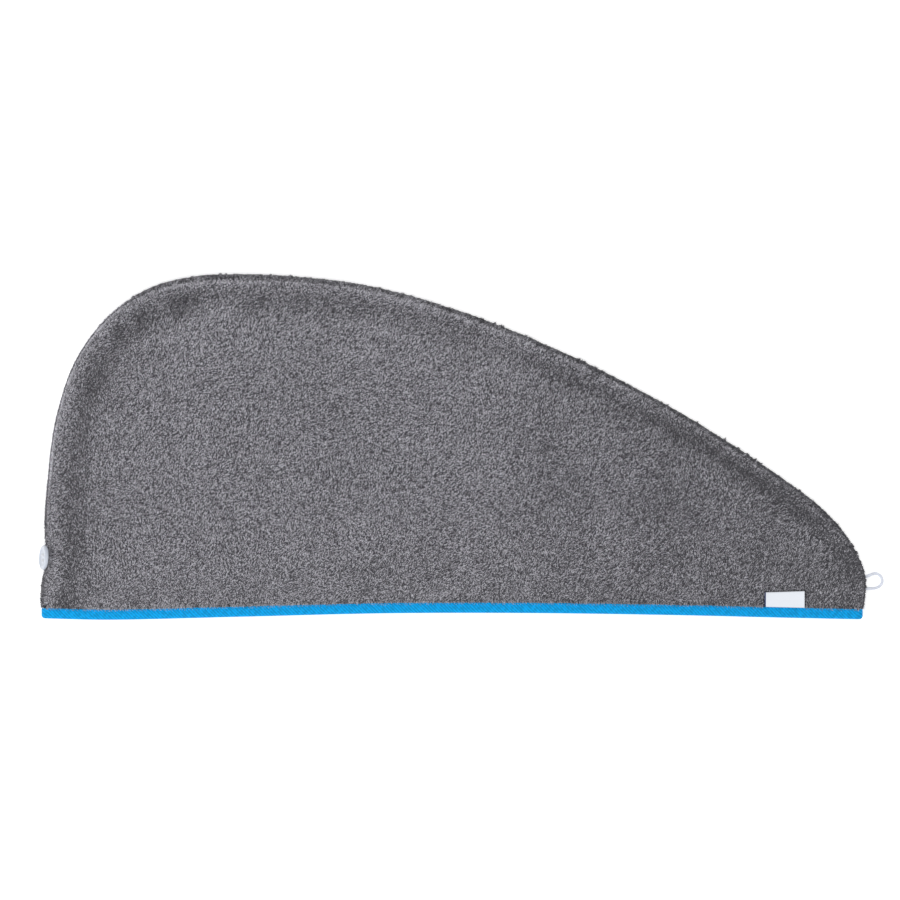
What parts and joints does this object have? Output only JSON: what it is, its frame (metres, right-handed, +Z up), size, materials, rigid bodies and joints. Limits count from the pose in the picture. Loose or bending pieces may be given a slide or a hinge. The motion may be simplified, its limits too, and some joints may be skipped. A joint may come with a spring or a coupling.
{
  "type": "hair turban towel",
  "caption": "Hair turban towel lying on its side: terry panels seamed along a curved edge, a bound straight mouth, a button at the wide end and an elastic loop at the tail",
  "frame": {"origin": "on the table, on the flat underside of the back panel, under the middle of the towel without its elastic loop", "axes": "+X runs along the mouth from the wide end with the button to the tail with the loop, +Y from the mouth to the curved seam, +Z up from the back panel to the front panel"},
  "size_m": [0.6561, 0.268, 0.0225],
  "materials": {
    "terry": "short looped pile, matt grey",
    "binding_tape": "fine twill tape, matt bright blue",
    "label_ribbon": "woven satin ribbon, bare, white",
    "button_plastic": "polished, pale bluish white",
    "thread": "sewing thread, white",
    "elastic_cord": "braided cover over rubber, white"
  },
  "bodies": {
    "root": {"front_panel": "terry", "back_panel": "terry", "edge_binding": "binding_tape", "label": "label_ribbon", "button": "button_plastic", "button_thread": "thread", "elastic_loop": "elastic_cord"}
  },
  "joints": []
}
